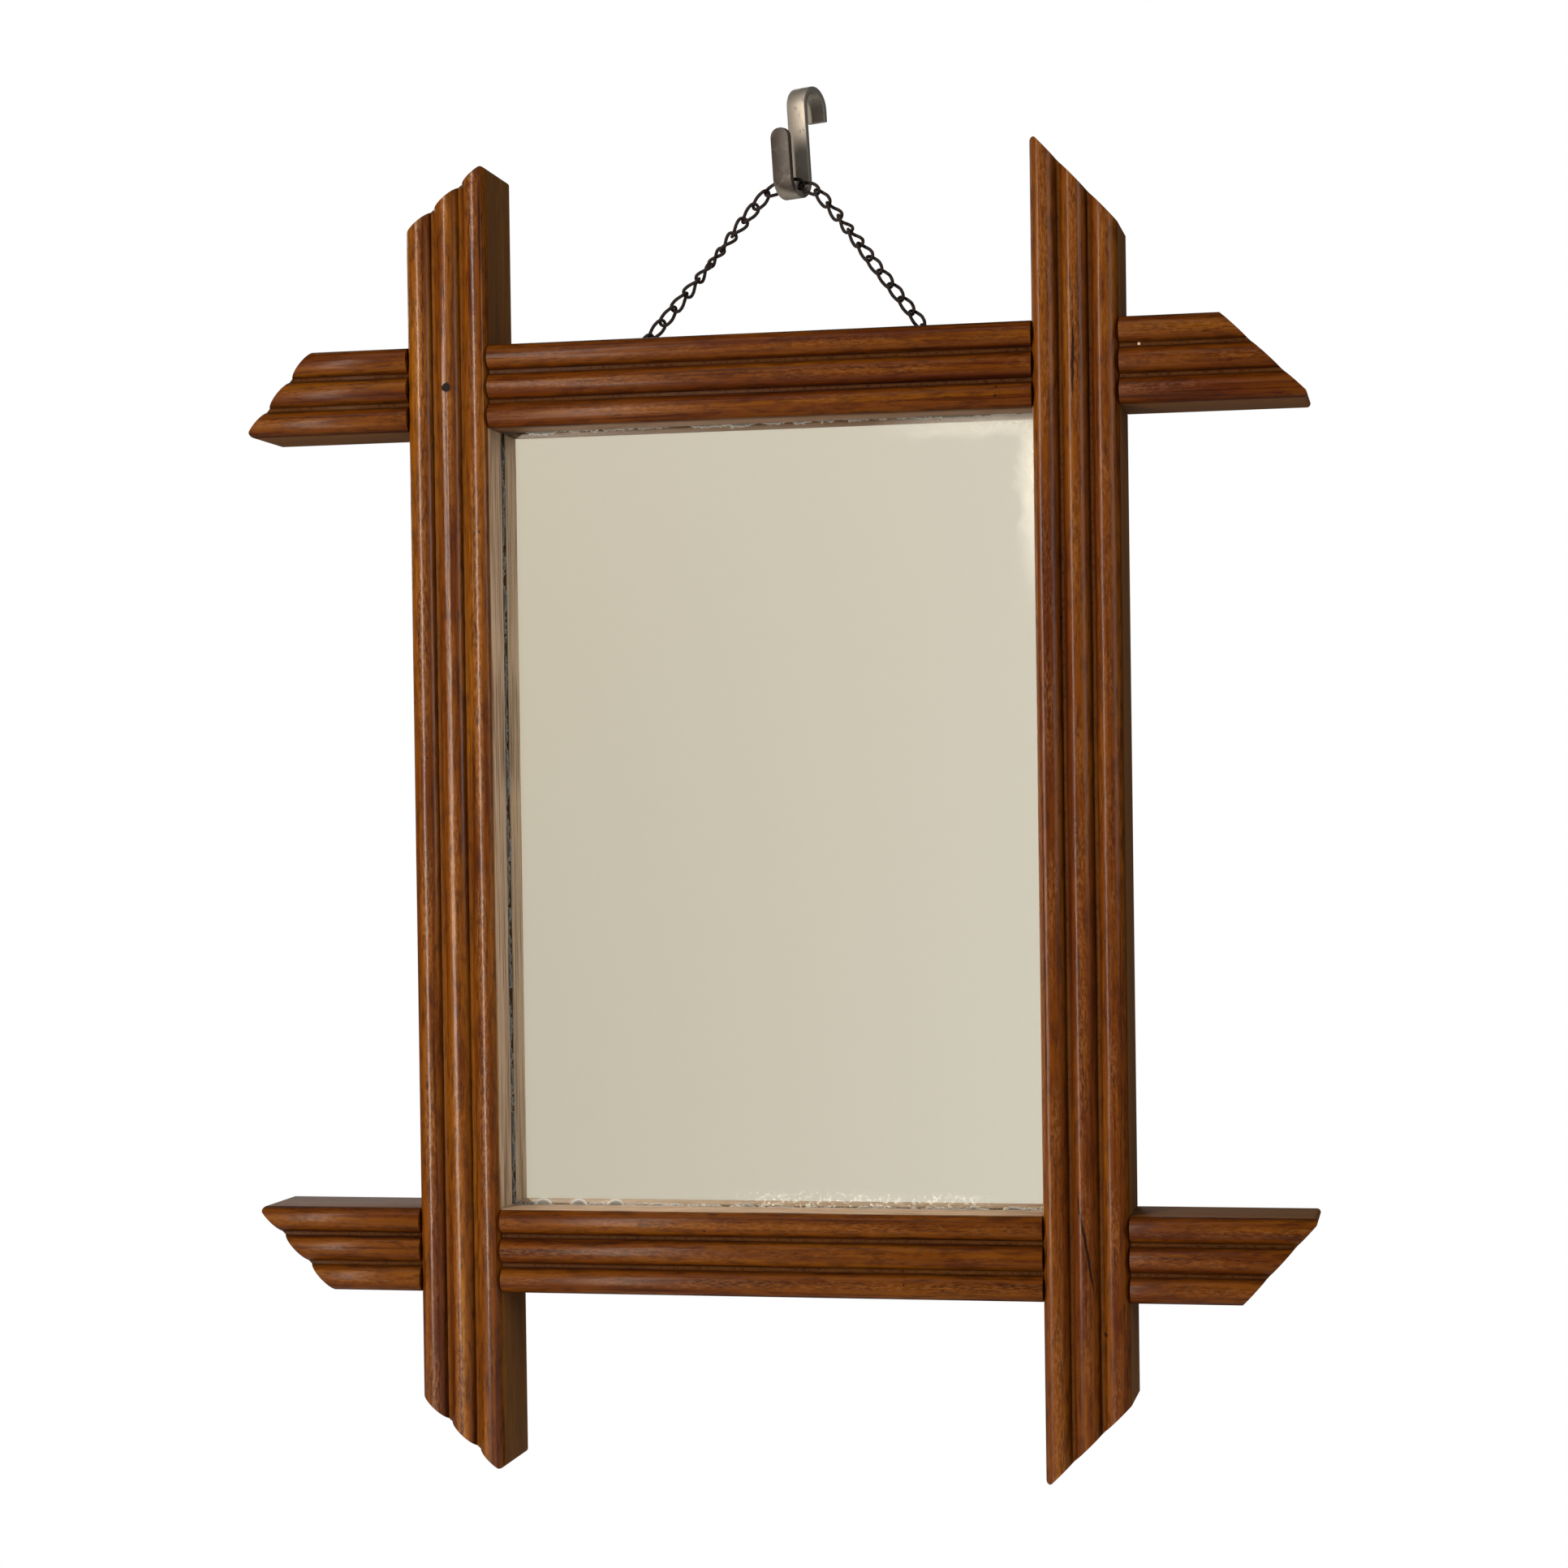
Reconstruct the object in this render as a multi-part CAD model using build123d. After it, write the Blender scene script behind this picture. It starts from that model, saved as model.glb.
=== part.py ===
from build123d import *
import math
import os

# Barber mirror in a frame of four reeded mouldings whose ends cross at the corners.
# It hangs by a twisted curb chain from a hook bent out of flat steel bar.
# Lengths are millimetres. X runs to the right, Y away from the viewer, +Z up.
# Everything is drawn from the middle of the mirror, on the plane of the reeds' crests,
# and moved at the end, so that the origin lies on the axis of the rail the hook clasps.

# Moulding of the stiles (upright) and rails (level)
STOCK_WIDTH = 27.0
STOCK_DEPTH = 26.0
REED_COUNT = 3
REED_DEPTH = 3.0
QUIRK_WIDTH = 1.2
STILE_SPACING = 202.6
RAIL_SPACING = 277.0
STILE_LENGTH = 420.0
RAIL_REACH_LEFT = 170.4
RAIL_REACH_RIGHT = 173.8
TIP_ROUND = 1.2
PLANED_OFF = 0.05
JOINT_GAP = 0.12

# How far each sawn end falls back from its long point, which is on the mirror's side
LEFT_STILE_CUTS = (21.4, 24.4)
RIGHT_STILE_CUTS = (28.8, 26.4)
TOP_RAIL_CUTS = (22.8, 28.2)
BOTTOM_RAIL_CUTS = (25.6, 24.6)

# Mirror plate and what holds it in the rebate
REBATE_WIDTH = 6.5
REBATE_FRONT = 13.8
GLASS_THICKNESS = 3.0
SILVER_THICKNESS = 0.3
BOARD_THICKNESS = 3.0
PLATE_SIDE_GAP = 0.8
PLATE_GAP = 0.05
BRAD_RADIUS = 0.55
BRAD_LENGTH = 10.0
BRAD_DEPTH_IN_WOOD = 5.5
BRADS_PER_STILE = 3
BRADS_PER_RAIL = 2
BRAD_INSET = 28.0

# Nail through the left crossing at the top
NAIL_HEAD_RADIUS = 1.3
NAIL_HEAD_THICKNESS = 0.8
NAIL_RADIUS = 0.75
NAIL_LENGTH = 21.0
NAIL_SINK = 0.3
POINT_RADIUS = 0.15
DRIVEN_GAP = 0.03

# Screw eyes in the back of the top rail
EYE_SPACING = 111.9
EYE_OFFSET = 2.3
EYE_HEIGHT = 140.5
EYE_RING_RADIUS = 3.6
EYE_WIRE_RADIUS = 0.8
EYE_BACK = 5.6
EYE_SHANK_LENGTH = 10.0
EYE_POINT_LENGTH = 2.5

# Twisted curb chain; each leg's turns are (link number, degrees) and run evenly between
LINKS_PER_LEG = 14
WIRE_RADIUS = 0.525
LINK_PITCH = 6.18
LINK_GAP = 0.06
LINK_INNER_WIDTH = 2.2
LINK_TWIST = 90.0
LINK_STATIONS = 16
WIRE_SIDES = 6
CHAIN_LEAN = 14.0
SHOULDER_SLOPE = 26.0
BEND_SLACK = 0.16
LEFT_TURNS = ((1, -135.0), (3, -165.0), (4, -165.0), (13, 25.0), (14, 25.0))
RIGHT_TURNS = ((1, 45.0), (4, 0.0), (8, 0.0), (11, 55.0), (13, 10.0), (14, -5.0))
SADDLE_LINK_TURN = 12.0

# Hook of flat bar
BAR_WIDTH = 7.0
BAR_THICKNESS = 2.0
SADDLE_RADIUS = 4.6
SADDLE_RISE = 2.8
TIP_HEIGHT = 16.0
STEM_HEIGHT = 23.8
CLASP_RADIUS = 5.0
CLASP_RETURN = 4.0
BAR_TIP_ROUND = 3.2
HOOK_TURN = -20.0
HOOK_LEAN = 5.6

SIGHT_HALF_WIDTH = (STILE_SPACING - STOCK_WIDTH) / 2
SIGHT_HALF_HEIGHT = (RAIL_SPACING - STOCK_WIDTH) / 2
LINK_INNER_LENGTH = LINK_PITCH + LINK_GAP


def moulding_profile():
    """Cross-section: x across the moulding, y from the crests to the flat back."""
    half = STOCK_WIDTH / 2
    reed_width = (STOCK_WIDTH - (REED_COUNT - 1) * QUIRK_WIDTH) / REED_COUNT
    with BuildSketch() as section:
        with BuildLine():
            left = -half
            for reed in range(REED_COUNT):
                right = left + reed_width
                ThreePointArc((left, REED_DEPTH), ((left + right) / 2, 0), (right, REED_DEPTH))
                if reed < REED_COUNT - 1:
                    Line((right, REED_DEPTH), (right + QUIRK_WIDTH, REED_DEPTH))
                left = right + QUIRK_WIDTH
            Polyline((half, REED_DEPTH), (half, STOCK_DEPTH), (-half, STOCK_DEPTH), (-half, REED_DEPTH))
        make_face()
    return section.sketch


def box(x_range, y_range, z_range):
    """Box between two limits on each axis."""
    low = (x_range[0], y_range[0], z_range[0])
    size = [high - start for high, start in zip((x_range[1], y_range[1], z_range[1]), low)]
    return Pos(*low) * Box(*size, align=(Align.MIN, Align.MIN, Align.MIN))


def rebate():
    """Pocket cut from the back for the mirror plate and its board."""
    half_width = SIGHT_HALF_WIDTH + REBATE_WIDTH
    half_height = SIGHT_HALF_HEIGHT + REBATE_WIDTH
    return box((-half_width, half_width), (REBATE_FRONT, STOCK_DEPTH + 1), (-half_height, half_height))


def sawn_outline(length, cuts):
    """Prism that saws a moulding to length, drawn along X with its long points at Y = 0.

    Its long side is planed a little below the moulding's side, and its long points are rounded.
    """
    half = length / 2
    slopes = [cut / STOCK_WIDTH for cut in cuts]
    beyond = STOCK_WIDTH + 2
    outline = make_face(Polyline(
        (-half, PLANED_OFF),
        (half, PLANED_OFF),
        (half - slopes[1] * beyond, beyond),
        (slopes[0] * beyond - half, beyond),
        close=True,
    ))
    points = outline.vertices().group_by(Axis.Y)[0]
    return extrude(fillet(points, TIP_ROUND), amount=STOCK_DEPTH + 2)


def stile(side, cuts):
    """Upright moulding; side is -1 on the left and 1 on the right, cuts are top and bottom."""
    centre = side * STILE_SPACING / 2
    inner = centre - side * STOCK_WIDTH / 2
    half = STILE_LENGTH / 2
    bar = Pos(centre, 0, -half) * extrude(moulding_profile(), amount=STILE_LENGTH)
    outline = sawn_outline(STILE_LENGTH, cuts if side > 0 else cuts[::-1])
    bar = bar & Plane((inner, STOCK_DEPTH + 1, 0), x_dir=(0, 0, -side), z_dir=(0, -1, 0)).location * outline
    for level in (-RAIL_SPACING / 2, RAIL_SPACING / 2):
        reach = STOCK_WIDTH / 2 + JOINT_GAP
        across = (centre - STOCK_WIDTH, centre + STOCK_WIDTH)
        bar -= box(across, (REBATE_FRONT, STOCK_DEPTH + 1), (level - reach, level + reach))
    return bar - rebate()


def rail(side, cuts):
    """Level moulding; side is -1 at the bottom and 1 at the top, cuts are left and right."""
    centre = side * RAIL_SPACING / 2
    inner = centre - side * STOCK_WIDTH / 2
    length = RAIL_REACH_LEFT + RAIL_REACH_RIGHT
    profile = Plane((-RAIL_REACH_LEFT, 0, centre), x_dir=(0, 0, -1), z_dir=(1, 0, 0)) * moulding_profile()
    bar = extrude(profile, amount=length, dir=(1, 0, 0))
    middle = (RAIL_REACH_RIGHT - RAIL_REACH_LEFT) / 2
    outline = sawn_outline(length, cuts if side > 0 else cuts[::-1])
    bar = bar & Plane((middle, STOCK_DEPTH + 1, inner), x_dir=(side, 0, 0), z_dir=(0, -1, 0)).location * outline
    for place in (-STILE_SPACING / 2, STILE_SPACING / 2):
        reach = STOCK_WIDTH / 2 + JOINT_GAP
        along = (place - reach, place + reach)
        bar -= box(along, (-1, REBATE_FRONT + PLATE_GAP), (centre - STOCK_WIDTH, centre + STOCK_WIDTH))
    return bar - rebate()


def plate(front, thickness):
    """Sheet that fills the rebate, less its side gap."""
    half_width = SIGHT_HALF_WIDTH + REBATE_WIDTH - PLATE_SIDE_GAP
    half_height = SIGHT_HALF_HEIGHT + REBATE_WIDTH - PLATE_SIDE_GAP
    return box((-half_width, half_width), (front, front + thickness), (-half_height, half_height))


GLASS_FRONT = REBATE_FRONT + PLATE_GAP
SILVER_FRONT = GLASS_FRONT + GLASS_THICKNESS
BOARD_FRONT = SILVER_FRONT + SILVER_THICKNESS + PLATE_GAP
BRAD_LEVEL = BOARD_FRONT + BOARD_THICKNESS + PLATE_GAP + BRAD_RADIUS


def spread(count, half_length):
    """Evenly spaced places along one side of the board, clear of its corners."""
    reach = half_length - BRAD_INSET
    return [-reach + 2 * reach * n / (count - 1) for n in range(count)]


def brads(radius, extra=0.0):
    """Wire brads that pin the board down, half driven into the rebate's walls."""
    pins = []
    rod = Cylinder(radius, BRAD_LENGTH + extra, align=(Align.CENTER, Align.CENTER, Align.MIN))
    wall_x = SIGHT_HALF_WIDTH + REBATE_WIDTH
    wall_z = SIGHT_HALF_HEIGHT + REBATE_WIDTH
    shown = BRAD_LENGTH - BRAD_DEPTH_IN_WOOD
    for side in (-1, 1):
        for level in spread(BRADS_PER_STILE, SIGHT_HALF_HEIGHT):
            start = (side * (wall_x - shown), BRAD_LEVEL, level)
            pins.append(Plane(start, z_dir=(side, 0, 0)).location * rod)
        for place in spread(BRADS_PER_RAIL, SIGHT_HALF_WIDTH):
            start = (place, BRAD_LEVEL, side * (wall_z - shown))
            pins.append(Plane(start, z_dir=(0, 0, side)).location * rod)
    return pins


def nail(gap=0.0):
    """Nail driven from the front through the crossing; gap widens it into its own hole."""
    top = -1 if gap else NAIL_SINK
    neck = NAIL_SINK + NAIL_HEAD_THICKNESS + gap
    point = NAIL_SINK + NAIL_LENGTH + gap
    profile = make_face(Polyline(
        (0, top),
        (NAIL_HEAD_RADIUS + gap, top),
        (NAIL_HEAD_RADIUS + gap, neck),
        (NAIL_RADIUS + gap, neck),
        (NAIL_RADIUS + gap, point - 2 * NAIL_RADIUS),
        (POINT_RADIUS, point),
        (0, point),
        close=True,
    ))
    return Pos(-STILE_SPACING / 2, 0, RAIL_SPACING / 2) * revolve(profile, axis=Axis.Y)


def eye_centre(side):
    """Middle of a screw eye's ring."""
    return Vector(side * EYE_SPACING / 2 + EYE_OFFSET, STOCK_DEPTH + EYE_BACK, EYE_HEIGHT)


def eye_shank(side, gap=0.0):
    """Pointed shank of a screw eye, from its ring into the rail."""
    neck = EYE_BACK - EYE_RING_RADIUS
    depth = EYE_SHANK_LENGTH + neck + gap
    profile = make_face(Polyline(
        (0, 0),
        (EYE_WIRE_RADIUS + gap, 0),
        (EYE_WIRE_RADIUS + gap, depth - EYE_POINT_LENGTH),
        (POINT_RADIUS, depth),
        (0, depth),
        close=True,
    ))
    start = eye_centre(side) - Vector(0, EYE_RING_RADIUS, 0)
    return Pos(*start) * mirror(revolve(profile, axis=Axis.Y), about=Plane.XZ)


def screw_eye(side):
    """Wire ring in the upright fore-and-aft plane on a pointed shank."""
    ring = Pos(*eye_centre(side)) * Rot(0, 90, 0) * Torus(EYE_RING_RADIUS, EYE_WIRE_RADIUS)
    return ring + eye_shank(side)


def link_centre_line(share):
    """Point and flat normal of a curb link's wire at a share of one turn round it."""
    bend = LINK_INNER_WIDTH / 2 + WIRE_RADIUS
    straight = LINK_INNER_LENGTH / 2 + WIRE_RADIUS - bend
    arc = math.pi * bend
    run = (share % 1.0) * (2 * arc + 4 * straight)
    if run < straight:
        across, along = bend, run
    elif run < straight + arc:
        angle = (run - straight) / bend
        across, along = bend * math.cos(angle), straight + bend * math.sin(angle)
    elif run < 3 * straight + arc:
        across, along = -bend, 2 * straight + arc - run
    elif run < 3 * straight + 2 * arc:
        angle = (run - 3 * straight - arc) / bend
        across, along = -bend * math.cos(angle), -straight - bend * math.sin(angle)
    else:
        across, along = bend, run - 4 * straight - 2 * arc
    turn = math.radians(LINK_TWIST / 2) * math.sin(math.pi / 2 * along / (straight + bend))
    point = Vector(across * math.cos(turn), across * math.sin(turn), along)
    return point, Vector(-math.sin(turn), math.cos(turn), 0)


def wire_section(share):
    """Many-sided section of the link's wire, square to its run."""
    step = 0.002
    point, flat = link_centre_line(share)
    ahead = link_centre_line(share + step)[0]
    behind = link_centre_line(share - step)[0]
    tangent = (ahead - behind).normalized()
    normal = (flat - tangent * flat.dot(tangent)).normalized()
    section = RegularPolygon(WIRE_RADIUS, WIRE_SIDES, rotation=180 / WIRE_SIDES)
    return Plane(point, x_dir=normal, z_dir=tangent) * section


def curb_link():
    """One link: a flat oval of wire whose two ends are turned a right angle apart."""
    sections = [wire_section(n / LINK_STATIONS).faces()[0] for n in range(LINK_STATIONS + 1)]
    middle = LINK_STATIONS // 2
    return loft(sections[: middle + 1], ruled=True) + loft(sections[middle:], ruled=True)


FIRST_REACH = LINK_INNER_LENGTH / 2 - EYE_WIRE_RADIUS - LINK_GAP
BENT_REACH = (LINK_PITCH - BEND_SLACK) / 2
CHAIN_UP = Vector(0, math.sin(math.radians(CHAIN_LEAN)), math.cos(math.radians(CHAIN_LEAN)))
CHAIN_BACK = Vector(0, CHAIN_UP.Z, -CHAIN_UP.Y)


def eye_top(side):
    """Middle of the ring's wire where the chain pulls on it."""
    return eye_centre(side) + CHAIN_UP * EYE_RING_RADIUS


def sloping(side, angle):
    """Unit vector in the chain's plane, rising towards the middle at an angle."""
    return Vector(-side * math.cos(angle), 0, 0) + CHAIN_UP * math.sin(angle)


def leg_slope():
    """Angle at which the straight part of each leg rises to the last link but one."""
    straight = FIRST_REACH + (LINKS_PER_LEG - 2) * LINK_PITCH + BENT_REACH
    shoulder = math.radians(SHOULDER_SLOPE)
    span = EYE_SPACING / 2 - BENT_REACH - 2 * BENT_REACH * math.cos(shoulder)
    return math.acos(span / straight)


def leg_centres(side):
    """Middle of each link of a leg and its direction, from the screw eye up."""
    up_leg = sloping(side, leg_slope())
    shoulder = sloping(side, math.radians(SHOULDER_SLOPE))
    first = eye_top(side) + up_leg * FIRST_REACH
    places = [(first + up_leg * LINK_PITCH * n, up_leg) for n in range(LINKS_PER_LEG - 1)]
    last = places[-1][0] + up_leg * BENT_REACH + shoulder * BENT_REACH
    return places + [(last, shoulder)]


def saddle_point():
    """Middle of the link that lies in the hook."""
    last, shoulder = leg_centres(1)[-1]
    return last + shoulder * BENT_REACH - Vector(BENT_REACH, 0, 0)


SADDLE = saddle_point()


def turn_at(turns, number):
    """Turn of a link about its leg; nought shows its flat face to the front."""
    for (start, low), (end, high) in zip(turns, turns[1:]):
        if start <= number <= end:
            return low + (high - low) * (number - start) / (end - start)


def placed_link(link, centre, direction, turn):
    """A link moved to its place, its length along direction."""
    across = direction.cross(CHAIN_BACK).normalized()
    return Plane(centre, x_dir=across, z_dir=direction).location * Rot(0, 0, turn) * link


def leg_links(link, side):
    """The links of one leg, counted from the screw eye up."""
    word, turns = ("left", LEFT_TURNS) if side < 0 else ("right", RIGHT_TURNS)
    links = {}
    for number, (centre, direction) in enumerate(leg_centres(side), 1):
        links[f"{word}_link_{number:02d}"] = placed_link(link, centre, direction, turn_at(turns, number))
    return links


def hook_plane():
    """Plane of the hook's side view: x towards its stem, y up, about the saddle's centre."""
    turn = math.radians(HOOK_TURN)
    lean = math.radians(HOOK_LEAN)
    stem_side = Vector(-math.sin(turn), math.cos(turn), 0)
    across = Vector(math.cos(turn), math.sin(turn), 0)
    centre = SADDLE + Vector(0, 0, SADDLE_RADIUS - SADDLE_RISE)
    return Plane(centre, x_dir=stem_side * math.cos(lean) + Vector(0, 0, math.sin(lean)), z_dir=across)


def hook_line():
    """Middle line of the bar, in the plane of the hook's side view."""
    lower = SADDLE_RADIUS + BAR_THICKNESS / 2
    upper = CLASP_RADIUS + BAR_THICKNESS / 2
    tip = Line((-lower, TIP_HEIGHT), (-lower, 0))
    seat = ThreePointArc((-lower, 0), (0, -lower), (lower, 0))
    stem = Line((lower, 0), (lower, STEM_HEIGHT))
    clasp = ThreePointArc(
        (lower, STEM_HEIGHT), (lower + upper, STEM_HEIGHT + upper), (lower + 2 * upper, STEM_HEIGHT)
    )
    back = Line((lower + 2 * upper, STEM_HEIGHT), (lower + 2 * upper, STEM_HEIGHT - CLASP_RETURN))
    return Wire([tip, seat, stem, clasp, back])


def rail_axis_point():
    """Middle of the clasp, where the axis of the rail runs."""
    return hook_plane().from_local_coords(
        Vector(SADDLE_RADIUS + CLASP_RADIUS + BAR_THICKNESS, STEM_HEIGHT, 0)
    )


def hook():
    """Flat bar bent to a hook below and a clasp for the rail above, its tip rounded."""
    line = hook_line()
    start = Plane(line @ 0, x_dir=(0, 0, 1), z_dir=line % 0)
    bar = sweep(start * Rectangle(BAR_WIDTH, BAR_THICKNESS), path=line)
    ends = bar.edges().filter_by(Axis.X)
    tip_edges = [edge for edge in ends if edge.center().Y > TIP_HEIGHT - 0.1 and edge.center().X < 0]
    bar = fillet(tip_edges, BAR_TIP_ROUND)
    return hook_plane().location * bar


def build_nodes():
    """Every sub-part by name, about the middle of the mirror."""
    driven = [nail(DRIVEN_GAP)]
    driven += brads(BRAD_RADIUS + DRIVEN_GAP, DRIVEN_GAP)
    driven += [eye_shank(side, DRIVEN_GAP) for side in (-1, 1)]
    members = {
        "left_stile": stile(-1, LEFT_STILE_CUTS),
        "right_stile": stile(1, RIGHT_STILE_CUTS),
        "top_rail": rail(1, TOP_RAIL_CUTS),
        "bottom_rail": rail(-1, BOTTOM_RAIL_CUTS),
    }
    nodes = {}
    for name, member in members.items():
        for pin in driven:
            member -= pin
        nodes[name] = member
    nodes["mirror_glass"] = plate(GLASS_FRONT, GLASS_THICKNESS)
    nodes["silvering"] = plate(SILVER_FRONT, SILVER_THICKNESS)
    nodes["backing_board"] = plate(BOARD_FRONT, BOARD_THICKNESS)
    nodes["glazing_brads"] = Compound(brads(BRAD_RADIUS))
    nodes["crossing_nail"] = nail()
    nodes["left_screw_eye"] = screw_eye(-1)
    nodes["right_screw_eye"] = screw_eye(1)
    link = curb_link()
    nodes.update(leg_links(link, -1))
    nodes.update(leg_links(link, 1))
    nodes["saddle_link"] = placed_link(link, SADDLE, Vector(1, 0, 0), SADDLE_LINK_TURN)
    nodes["hook"] = hook()
    return nodes


os.makedirs("parts", exist_ok=True)
to_origin = Pos(*(rail_axis_point() * -1))
for name, shape in build_nodes().items():
    export_step(to_origin * shape, f"parts/{name}.step")
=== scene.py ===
"""Looks of the barber mirror.

Four crossed reeded mouldings hold an old plate.
The frame hangs by a browned curb chain from a flat steel hook.
"""

import math

import bmesh
import bpy
from mathutils import Matrix, Vector


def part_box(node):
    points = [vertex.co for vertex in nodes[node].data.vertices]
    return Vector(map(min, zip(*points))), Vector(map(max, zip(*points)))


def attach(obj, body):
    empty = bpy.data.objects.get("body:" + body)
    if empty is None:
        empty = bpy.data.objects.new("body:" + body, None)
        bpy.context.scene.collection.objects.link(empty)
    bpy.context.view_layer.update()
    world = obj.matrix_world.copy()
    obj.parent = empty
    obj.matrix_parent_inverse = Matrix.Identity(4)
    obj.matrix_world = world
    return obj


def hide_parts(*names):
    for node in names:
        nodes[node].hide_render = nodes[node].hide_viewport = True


MM = 0.001

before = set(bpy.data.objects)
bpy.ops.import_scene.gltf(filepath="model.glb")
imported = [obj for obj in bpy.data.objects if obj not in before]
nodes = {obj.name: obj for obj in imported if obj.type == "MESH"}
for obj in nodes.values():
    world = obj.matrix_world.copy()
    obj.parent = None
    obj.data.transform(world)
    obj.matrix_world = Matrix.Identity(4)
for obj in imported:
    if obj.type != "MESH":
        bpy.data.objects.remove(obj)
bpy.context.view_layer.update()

# The middle of the mirror on the plane of the reeds' crests, which the measures below start from
glass_low, glass_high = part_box("mirror_glass")
CENTRE = (glass_low + glass_high) / 2
CENTRE.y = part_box("left_stile")[0].y

# Sizes of the mouldings, their crossings and the sight opening
STOCK_WIDTH = 27.0 * MM
QUIRK_OFFSET = 4.7 * MM
CREST_OFFSET = 9.1 * MM
REED_DEPTH = 3.0 * MM
STILE_PLACE = 101.3 * MM
RAIL_PLACE = 138.5 * MM
SIGHT_HALF_WIDTH = 87.8 * MM
SIGHT_HALF_HEIGHT = 125.0 * MM

# Glass
SILVER_CLEARANCE = 0.03 * MM
GLASS_ARRIS = 0.3 * MM

# Worn edges: how sharp an edge has to be, how far it is worn, and a slant-sawn end's own wear
SHARP_FROM = math.radians(32)
EDGE_WEAR = 0.3 * MM
SAWN_END_WEAR = 0.9 * MM
MERGE_DISTANCE = 0.002 * MM
FLAT_WITHIN = math.radians(0.5)

# Chain; each leg's turns are (link number, degrees) and run evenly between
WIRE_RADIUS = 0.56 * MM
LINK_INNER_LENGTH = 6.24 * MM
LINK_INNER_WIDTH = 2.13 * MM
LINK_TWIST = math.radians(90)
CHAIN_LEAN = math.radians(14)
SHOULDER_SLOPE = math.radians(26)
LINKS_PER_LEG = 14
LEFT_TURNS = ((1, -135.0), (3, -165.0), (4, -165.0), (13, 25.0), (14, 25.0))
RIGHT_TURNS = ((1, 45.0), (4, 0.0), (8, 0.0), (11, 55.0), (13, 10.0), (14, -5.0))
SADDLE_LINK_TURN = 12.0
LINK_ROUND_STEPS = 56
LINK_WIRE_STEPS = 14
LINK_BEND_STEPS = 16


def at(x, y, z):
    """A place measured in millimetres from the middle of the mirror."""
    return CENTRE + Vector((x, y, z)) * MM


def front_place(x, z):
    """Where a place in millimetres from the middle of the mirror lies, seen from the front."""
    place = at(x, 0, z)
    return place.x, place.z


def across_at(x):
    return at(x, 0, 0).x


def level_at(z):
    return at(0, 0, z).z


def middle_of(node):
    """Middle of a CAD node's box."""
    low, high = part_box(node)
    return (low + high) / 2


def srgb(red, green, blue):
    """Linear colour from display values of 0 to 255."""
    linear = [((c / 255 + 0.055) / 1.055) ** 2.4 if c > 10 else c / 3295 for c in (red, green, blue)]
    return (*linear, 1.0)


# Tones of the varnished wood, from its grain to what lies on it, painted shade and painted light among them
GRAIN_TONES = (
    (0.33, srgb(46, 17, 2)),
    (0.43, srgb(84, 37, 4)),
    (0.52, srgb(112, 60, 4)),
    (0.66, srgb(148, 92, 12)),
)
CLOUD_TONE = srgb(138, 82, 8)
MOTTLE_TONE = srgb(46, 17, 3)
RED_TONE = srgb(92, 32, 4)
STREAK_TONE = srgb(38, 13, 3)
PORE_TONE = srgb(30, 11, 4)
DEEP_VARNISH_TONE = srgb(40, 14, 2)
QUIRK_DIRT_AND_SHADE_TONE = srgb(26, 9, 3)
# Dirt and painted shade in the quirks
FILLET_TONE = srgb(92, 62, 30)
WALL_TONE = srgb(100, 72, 42)
# Pale dust, also painted light on the sight walls that face the light
SIGHT_DUST_AND_LIGHT_TONE = srgb(190, 164, 136)
# Pale rubbed wear, also painted highlight on the crests
RUBBED_AND_HIGHLIGHT_TONE = srgb(166, 118, 70)
CRACK_TONE = srgb(16, 7, 4)
PIT_TONE = srgb(30, 12, 6)
BARE_FLECK_TONE = srgb(214, 190, 164)

# Where dirt, wear, painted shade, painted highlight and painted light lie on a moulding, each from its faint
# edge to its full tone
QUIRK_DIRT_AND_SHADE_REACH = (1.75 * MM, 0.7 * MM)
FILLET_REACH = (0.52 * MM, 0.3 * MM)
FACE_DEPTHS = (REED_DEPTH + 0.3 * MM, REED_DEPTH + 0.1 * MM)
WALL_DEPTHS = (REED_DEPTH, REED_DEPTH + 0.9 * MM)
CREST_REACH = (2.8 * MM, 0.4 * MM)
CREST_DEPTHS = (REED_DEPTH, 0.5 * REED_DEPTH)
SIGHT_WALL_REACH = (0.5 * MM, 0.1 * MM)
SIGHT_DUST_AND_LIGHT_DEPTHS = (1.0 * MM, 2.5 * MM)
DIRT_WANDER = 1.5 * MM
OUTER_EDGE_ALLOWANCE = 0.7 * MM
CRACK_WIDTH = 0.5 * MM
CRACK_WANDER = 1.2 * MM

# Each crack's two ends, in millimetres from the middle of the mirror
CRACKS = {"right_stile": (((101.1, 152.0), (100.6, 126.0)), ((98.4, -116.0), (104.4, -151.0)))}
nail_place = (middle_of("crossing_nail") - CENTRE) / MM

# Knots, pits and nicks, by moulding: across, up, radius and tone; the nail's own spot is its rust
SPOTS = {
    "left_stile": (
        (nail_place.x, nail_place.z, 2.0, PIT_TONE),
        (-91.0, 92.0, 0.5, PIT_TONE),
        (-109.5, 20.0, 0.4, PIT_TONE),
    ),
    "right_stile": (
        (107.1, -161.7, 0.9, PIT_TONE),
        (96.0, 60.0, 0.5, PIT_TONE),
        (108.6, -40.0, 0.4, PIT_TONE),
    ),
    "top_rail": (
        (76.7, 131.7, 0.5, PIT_TONE),
        (76.5, 128.8, 0.6, PIT_TONE),
        (121.0, 143.4, 0.55, BARE_FLECK_TONE),
    ),
    "bottom_rail": (
        (-20.0, -131.0, 0.5, PIT_TONE),
        (44.0, -147.0, 0.4, PIT_TONE),
    ),
}
SPOT_CORE = 0.6

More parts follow.
